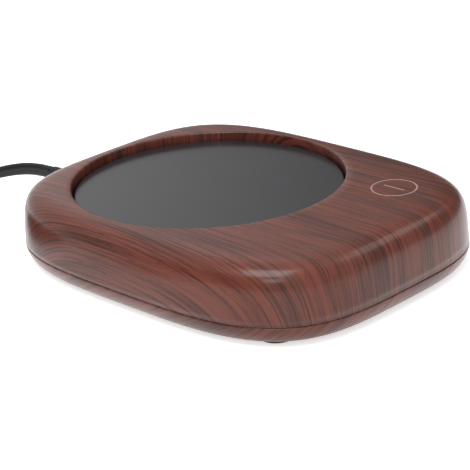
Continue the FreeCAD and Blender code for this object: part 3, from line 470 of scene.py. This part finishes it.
# %% Finishes of the inner pieces
def finish(name, light, dark, grain_mm, roughness, metallic=0.0, bump_mm=0.01, stretch=(1, 1, 1), ior=1.5):
    """Procedural finish from two shades, mixed by noise of the real grain size."""
    material, tree, shader = new_material(name)
    place = add(tree, "ShaderNodeTexCoord").outputs["Object"]
    drawn = add(tree, "ShaderNodeVectorMath", {"operation": "MULTIPLY"}, i0=place)
    drawn.inputs[1].default_value = stretch
    noise = add(tree, "ShaderNodeTexNoise", Vector=drawn.outputs[0], Scale=1 / (grain_mm * MM), Detail=3.0)
    colour = ramp(tree, noise.outputs["Fac"], [(0.35, dark), (0.65, light)])
    tree.links.new(colour, shader.inputs["Base Color"])
    rough = add(tree, "ShaderNodeMapRange", Value=noise.outputs["Fac"], From_Min=0.3, From_Max=0.7,
                To_Min=roughness * 0.9, To_Max=min(1.0, roughness * 1.1))
    tree.links.new(rough.outputs[0], shader.inputs["Roughness"])
    shader.inputs["Metallic"].default_value = metallic
    shader.inputs["IOR"].default_value = ior
    bump = add(tree, "ShaderNodeBump", Height=noise.outputs["Fac"], Strength=0.25, Distance=bump_mm * MM)
    tree.links.new(bump.outputs[0], shader.inputs["Normal"])
    return material


plate_coat = finish("heatproof_coating_on_aluminium", "#2a292c", "#242326", 0.35, 0.20, 0.0, 0.004, ior=1.4)
foot_rubber = finish("moulded_brown_rubber", "#4a3330", "#3b2826", 0.5, 0.6, 0.0, 0.02)
lead_vinyl = finish("soft_pvc_sheath", "#151518", "#0f0f11", 0.6, 0.5, 0.0, 0.02, ior=1.36)
black_nylon = finish("glass_filled_nylon", "#232324", "#19191a", 0.4, 0.5)
zinc_steel = finish("zinc_plated_steel", "#b9bcc0", "#a3a6ab", 0.8, 0.32, 1.0, 0.01)
inner_finishes = {
    "heating_plate": plate_coat,
    "upper_mica_sheet": finish("pressed_mica", "#c6b795", "#a7966f", 1.2, 0.45),
    "lower_mica_sheet": finish("pressed_mica_low", "#c0b08c", "#a1906a", 1.2, 0.45),
    "heating_element": finish("rolled_resistance_alloy", "#a39d94", "#8a847b", 0.3, 0.3, 1.0, 0.01,
                              (1, 8, 8)),
    "clamp_plate": zinc_steel,
    "insulation_pad": finish("ceramic_fibre_felt", "#efece4", "#d9d5ca", 0.5, 0.95, 0.0, 0.1),
    "thermostat": finish("phenolic_moulding", "#33261f", "#251b16", 0.5, 0.4),
    "thermal_fuse": finish("drawn_tinned_brass", "#cfc9b8", "#b5ae9a", 0.5, 0.28, 1.0),
    "plate_carrier": black_nylon,
    "cord_clamp": black_nylon,
    "plate_screws": zinc_steel,
    "switch_screws": zinc_steel,
    "board_screws": zinc_steel,
    "case_screws": zinc_steel,
    "clamp_screws": zinc_steel,
    "plate_springs": finish("drawn_spring_steel", "#9d9ea2", "#85868a", 0.2, 0.25, 1.0, 0.005),
    "microswitch_body": finish("moulded_switch_case", "#1f2023", "#17181a", 0.4, 0.38),
    "switch_plunger": finish("moulded_acetal", "#a3261c", "#8c2018", 0.4, 0.3),
    "switch_terminals": finish("nickel_plated_brass", "#cdbf97", "#b3a67f", 0.5, 0.25, 1.0),
    "plug_blades": finish("nickel_plated_blades", "#cfc8b4", "#bab29c", 0.5, 0.22, 1.0, 0.004, (1, 8, 1)),
    "control_board": finish("green_solder_mask", "#155c33", "#0f4a28", 1.5, 0.3),
    "power_relay": finish("moulded_relay_case", "#16243f", "#101b31", 0.6, 0.4),
    "film_capacitor": finish("dipped_epoxy", "#c0912a", "#a87c20", 0.8, 0.3),
    "touch_sensor": finish("carbon_foam", "#26262a", "#161618", 0.3, 0.9, 0.0, 0.15),
    "light_guide": finish("clear_acrylic", "#e3e6e8", "#d7dbde", 2.0, 0.12),
    "indicator_leds": finish("epoxy_lens", "#efe2a4", "#e2d291", 0.4, 0.2),
    "inner_cord": lead_vinyl,
    "supply_leads": finish("coloured_pvc_cores", "#7a3f22", "#66341b", 0.6, 0.4),
    "strain_relief": lead_vinyl,
    "plug_body": lead_vinyl,
}
for node_name, node_finish in inner_finishes.items():
    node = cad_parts[node_name]
    node.data.materials.clear()
    node.data.materials.append(node_finish)
print("finishes on", len(inner_finishes), "CAD pieces")

# %% [markdown]
# Four equal rubber feet stand in seats under the base. They are one Geometry Nodes tree: a foot is a
# finely divided cylinder whose lower rim is pulled in to a round edge, and it is set on the four corners
# of a rectangle. Size and spacing are the tree's inputs, so the same feet fit a wider case.


# %% Rubber feet by Geometry Nodes
def feet_tree():
    """Node tree that sets one round-edged foot on each corner of a rectangle."""
    tree = bpy.data.node_groups.new("feet_on_a_rectangle", "GeometryNodeTree")
    sides = tree.interface
    sides.new_socket("Geometry", in_out="INPUT", socket_type="NodeSocketGeometry")
    for name in ("Foot radius", "Foot height", "Edge round", "Span X", "Span Y"):
        sides.new_socket(name, in_out="INPUT", socket_type="NodeSocketFloat")
    sides.new_socket("Geometry", in_out="OUTPUT", socket_type="NodeSocketGeometry")
    given = add(tree, "NodeGroupInput").outputs
    radius, high, edge = given["Foot radius"], given["Foot height"], given["Edge round"]
    foot = add(tree, "GeometryNodeMeshCylinder", {"fill_type": "TRIANGLE_FAN"}, Vertices=64, Side_Segments=24,
               Fill_Segments=6, Radius=radius, Depth=high).outputs["Mesh"]
    position = add(tree, "GeometryNodeInputPosition").outputs[0]
    place = add(tree, "ShaderNodeSeparateXYZ", Vector=position).outputs
    above_bottom = maths(tree, "ADD", place["Z"], maths(tree, "MULTIPLY", high, 0.5))
    lack = maths(tree, "DIVIDE", maths(tree, "SUBTRACT", edge, above_bottom), edge)
    lack = maths(tree, "MAXIMUM", lack, 0.0)
    arc = maths(tree, "SQRT", maths(tree, "SUBTRACT", 1.0, maths(tree, "MULTIPLY", lack, lack)))
    pull = maths(tree, "DIVIDE", maths(tree, "MULTIPLY", edge, maths(tree, "SUBTRACT", arc, 1.0)), radius)
    offset = add(tree, "ShaderNodeCombineXYZ", X=maths(tree, "MULTIPLY", place["X"], pull),
                 Y=maths(tree, "MULTIPLY", place["Y"], pull), Z=maths(tree, "MULTIPLY", high, 0.5))
    rounded = add(tree, "GeometryNodeSetPosition", Geometry=foot, Offset=offset.outputs[0])
    corners = add(tree, "GeometryNodeMeshGrid", Vertices_X=2, Vertices_Y=2,
                  Size_X=maths(tree, "MULTIPLY", given["Span X"], 2.0),
                  Size_Y=maths(tree, "MULTIPLY", given["Span Y"], 2.0))
    placed = add(tree, "GeometryNodeInstanceOnPoints", Points=corners.outputs["Mesh"],
                 Instance=rounded.outputs["Geometry"])
    real = add(tree, "GeometryNodeRealizeInstances", Geometry=placed.outputs["Instances"])
    painted = add(tree, "GeometryNodeSetMaterial", Geometry=real.outputs["Geometry"], Material=foot_rubber)
    add(tree, "NodeGroupOutput", Geometry=painted.outputs["Geometry"])
    return tree


def made_by(tree, name, **inputs):
    """Plain mesh object that the tree makes with these inputs, named by their labels."""
    carrier = bpy.data.objects.new(name, bpy.data.meshes.new(name))
    bpy.context.scene.collection.objects.link(carrier)
    modifier = carrier.modifiers.new("nodes", "NODES")
    modifier.node_group = tree
    for socket in tree.interface.items_tree:
        if socket.in_out == "INPUT" and socket.name.replace(" ", "_") in inputs:
            modifier[socket.identifier] = inputs[socket.name.replace(" ", "_")]
    made = bpy.data.meshes.new_from_object(carrier.evaluated_get(bpy.context.evaluated_depsgraph_get()))
    carrier.modifiers.clear()
    carrier.data = made
    return carrier


feet = made_by(feet_tree(), "rubber_feet_moulding",
               Foot_radius=foot_radius * MM, Foot_height=foot_height * MM, Edge_round=foot_round * MM,
               Span_X=foot_span_x * MM, Span_Y=foot_span_y * MM)
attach(feet, "housing")
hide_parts("rubber_feet")
print("feet faces", len(feet.data.polygons))

# %% [markdown]
# The lead is a flat twin cord, 4.55 mm wide and 2.9 mm thick. It leaves the boot on edge, turns to lie
# flat on the table within 72 mm, and its spare length is wound up as for storage, out of the picture. A NURBS curve through the chosen route points gives the line; the flat section is
# swept along points read from that curve, and turned as it goes.

# %% Route of the cord
lead_width = 4.55
lead_thick = 2.9
rest_z = lead_thick / 2
coil_centre = (-70.0, 98.0)
coil_inner = 17.0
coil_pitch = 4.6
layer_rise = 3.05
layer_turns = (2.0, 2.0, 2.0, 1.5)
coil_outer = coil_inner + layer_turns[0] * coil_pitch
free_route = [(0.0, 95.0, 9.4), (0.0, 102.5, 9.4), (-2.2, 112.0, 8.4), (-8.0, 121.5, 6.0), (-18.5, 127.8, 3.4),
              (-33.0, 129.0, rest_z), (-49.0, coil_centre[1] + coil_outer, rest_z),
              (-66.4, coil_centre[1] + coil_outer, rest_z)]


def coil_place(turns):
    """Point of the coil after so many turns: it spirals in and out and climbs at each reversal."""
    radius, z, inward, left = coil_outer, rest_z, True, turns
    for layer, in_layer in enumerate(layer_turns):
        step = min(left, in_layer)
        radius += (-1 if inward else 1) * coil_pitch * step
        left -= step
        if left <= 0 or layer == len(layer_turns) - 1:
            break
        climb = min(left, 0.5)
        share = climb / 0.5
        z += layer_rise * share ** 2 * (3 - 2 * share)
        left -= climb
        if left <= 0:
            radius += (-1 if inward else 1) * coil_pitch / (2 * pi) * sin(2 * pi * climb)
            break
        inward = not inward
    angle = 2 * pi * (0.25 + turns)
    return (coil_centre[0] + radius * cos(angle), coil_centre[1] + radius * sin(angle), z)


coil_total = sum(layer_turns) + 0.5 * (len(layer_turns) - 1)
coil_steps = 16
coil_route = [coil_place(i / coil_steps) for i in range(int(coil_total * coil_steps) + 1)]
top_z = rest_z + (len(layer_turns) - 1) * layer_rise
tail_y = coil_route[-1][1]
tail_route = [(-73.6, tail_y, top_z), (-88.0, tail_y, top_z), (-103.0, tail_y - 6.7, top_z - 2.0),
              (-112.0, tail_y - 20.7, top_z - 3.6), (-113.5, 84.5, 6.5), (-113.5, 73.0, 6.5)]
curve = bpy.data.curves.new("lead_line", "CURVE")
curve.dimensions = "3D"
curve.resolution_u = 12
spline = curve.splines.new("NURBS")
route = free_route + coil_route + tail_route
spline.points.add(len(route) - 1)
for point, place in zip(spline.points, route):
    point.co = (*[c * MM for c in place], 1.0)
spline.order_u = 3
spline.use_endpoint_u = True
line = bpy.data.objects.new("lead_line", curve)
bpy.context.scene.collection.objects.link(line)
read = bpy.data.meshes.new_from_object(line.evaluated_get(bpy.context.evaluated_depsgraph_get()))
path = np.array([v.co for v in read.vertices])
bpy.data.objects.remove(line)
keep = np.concatenate([[True], np.linalg.norm(np.diff(path, axis=0), axis=1) > 0.05 * MM])
path = path[keep]
run = np.concatenate([[0], np.cumsum(np.linalg.norm(np.diff(path, axis=0), axis=1))])
step_mm = 2.0
marks = np.linspace(0, run[-1], int(run[-1] / (step_mm * MM)))
path = np.stack([np.interp(marks, run, path[:, axis]) for axis in range(3)], axis=1)


# %% [markdown]
# The section is two round cores side by side with a shallow groove. It stands on edge at the boot and
# is turned step by step until it lies flat.

# %% Flat lead
def flat_section(count=20):
    """Outline of the flat lead: two round cores side by side with a shallow groove between them."""
    points = []
    for i in range(count):
        a = 2 * pi * i / count
        across = lead_width / 2 * np.sign(cos(a)) * abs(cos(a)) ** 0.8
        up = lead_thick / 2 * np.sign(sin(a)) * abs(sin(a)) ** 0.75
        groove = 0.28 * np.exp(-(across / 0.55) ** 2)
        points.append((across, up - np.sign(up) * groove))
    return points


twist_end = 72 * MM
tangents = np.gradient(path, axis=0)
tangents /= np.linalg.norm(tangents, axis=1)[:, None]
lead_rings = []
for point, tangent, along in zip(path, tangents, marks):
    flat_side = np.cross([0, 0, 1], tangent)
    flat_side /= np.linalg.norm(flat_side)
    upright = np.cross(tangent, flat_side)
    share = min(1.0, along / twist_end)
    angle = pi / 2 * (1 - share ** 2 * (3 - 2 * share))
    wide = flat_side * cos(angle) + upright * sin(angle)
    thin = np.cross(tangent, wide)
    lead_rings.append([tuple((point + (wide * a + thin * b) * MM) / MM) for a, b in flat_section()])
lead = grid("mains_lead", lead_rings, lead_vinyl, closed_profile=False)
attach(lead, "housing")
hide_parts("cord", "cord_coil", "cord_tail")
print("lead rings", len(lead_rings), "faces", len(lead.data.polygons))

# %% [markdown]
# The stage is a plain pale floor. It glows a little to the camera, so that it comes out white and
# keeps only a faint shadow, and to glossy rays, so that the sides pick up its light.

# %% Floor
floor_paint, floor_tree, floor_shader = new_material("matt_white_sweep")
floor_place = add(floor_tree, "ShaderNodeTexCoord").outputs["Object"]
floor_noise = add(floor_tree, "ShaderNodeTexNoise", Vector=floor_place, Scale=300.0, Detail=2.0)
floor_tree.links.new(ramp(floor_tree, floor_noise.outputs["Fac"], [(0.3, "#f4f4f4"), (0.7, "#f7f7f7")]),
                     floor_shader.inputs["Base Color"])
floor_shader.inputs["Roughness"].default_value = 0.9
rays = add(floor_tree, "ShaderNodeLightPath")
floor_shader.inputs["Emission Color"].default_value = (1, 1, 1, 1)
glow = maths(floor_tree, "ADD", maths(floor_tree, "MULTIPLY", rays.outputs["Is Camera Ray"], 0.62),
             maths(floor_tree, "MULTIPLY", rays.outputs["Is Glossy Ray"], 0.80))
floor_tree.links.new(glow, floor_shader.inputs["Emission Strength"])
floor_half = 3000.0
floor = mesh_object("floor", [(-floor_half, -floor_half, -0.02), (floor_half, -floor_half, -0.02),
                              (floor_half, floor_half, -0.02), (-floor_half, floor_half, -0.02)],
                    [(0, 1, 2, 3)], floor_paint)

# %% [markdown]
# The camera sees a white room. Diffuse light is lower than that, and glossy rays see the room fall
# off towards both side walls. The right part of the top mirrors more of the right wall, so it has
# less sheen than the left part.

# %% World
world = bpy.data.worlds.new("white_studio")
world.use_nodes = True
bpy.context.scene.world = world
sky = world.node_tree
sky.nodes.clear()
sky_rays = add(sky, "ShaderNodeLightPath")
sky_way = add(sky, "ShaderNodeSeparateXYZ", Vector=add(sky, "ShaderNodeNewGeometry").outputs["Incoming"])
side_walls = add(sky, "ShaderNodeMapRange", Value=maths(sky, "ABSOLUTE", sky_way.outputs["X"]), From_Min=0.58,
                 From_Max=0.74, To_Min=0.95, To_Max=0.15).outputs[0]
room = add(sky, "ShaderNodeMix", {"data_type": "FLOAT"}, i0=sky_rays.outputs["Is Glossy Ray"], i2=0.40,
           i3=side_walls).outputs[0]
sky_level = maths(sky, "MAXIMUM", room, sky_rays.outputs["Is Camera Ray"])
backdrop = add(sky, "ShaderNodeBackground", Color=(1, 1, 1, 1), Strength=sky_level)
add(sky, "ShaderNodeOutputWorld", Surface=backdrop.outputs[0])


# %% [markdown]
# Three soft lights: a wide one overhead for the highlight on the near corner, a strip at the right for
# the front shoulder, and a small weak one beside the camera.

# %% Lights
def soft_light(name, place, aim, size, power):
    """Rectangular soft light in mm, turned to its aim."""
    data = bpy.data.lights.new(name, "AREA")
    data.shape = "RECTANGLE"
    data.size, data.size_y = size[0] * MM, size[1] * MM
    data.energy = power
    lamp = bpy.data.objects.new(name, data)
    lamp.location = Vector(place) * MM
    lamp.rotation_euler = (Vector(aim) - Vector(place)).to_track_quat("-Z", "Y").to_euler()
    bpy.context.scene.collection.objects.link(lamp)
    return lamp


soft_light("top_box", (-330, -130, 800), (0, 0, 0), (560, 560), 6.4)
soft_light("right_strip", (585, -225, 650), (0, 0, 20), (480, 260), 0.9)
soft_light("side_patch", (-640, -420, 470), (0, 0, 20), (260, 170), 1.1)

# %% [markdown]
# The camera's place, tilt and lens come from fitting the case's outline, seam and rim to the photo.

# %% Camera
azimuth, elevation, roll = radians(-44.342), radians(21.939), radians(-3.71)
distance = 587.9
target = Vector((12.33, 16.26, 0.0))
back = Vector((sin(azimuth) * cos(elevation), -cos(azimuth) * cos(elevation), sin(elevation)))
camera_data = bpy.data.cameras.new("camera")
camera_data.sensor_width = 36.0
camera_data.lens = 133.12
camera_data.clip_start = 0.05
camera_data.clip_end = 20.0
camera = bpy.data.objects.new("camera", camera_data)
camera.location = (target + back * distance) * MM
ahead = -back
right = ahead.cross(Vector((0, 0, 1))).normalized()
up = right.cross(ahead)
turned_right = right * cos(roll) + up * sin(roll)
turned_up = up * cos(roll) - right * sin(roll)
turn = Matrix((turned_right, turned_up, back)).transposed()
camera.matrix_world = Matrix.LocRotScale(camera.location, turn, None)
bpy.context.scene.collection.objects.link(camera)
bpy.context.scene.camera = camera
bpy.context.scene.view_settings.view_transform = "Standard"
print("camera at", [round(1000 * v, 1) for v in camera.location], "mm, lens", camera_data.lens, "mm")
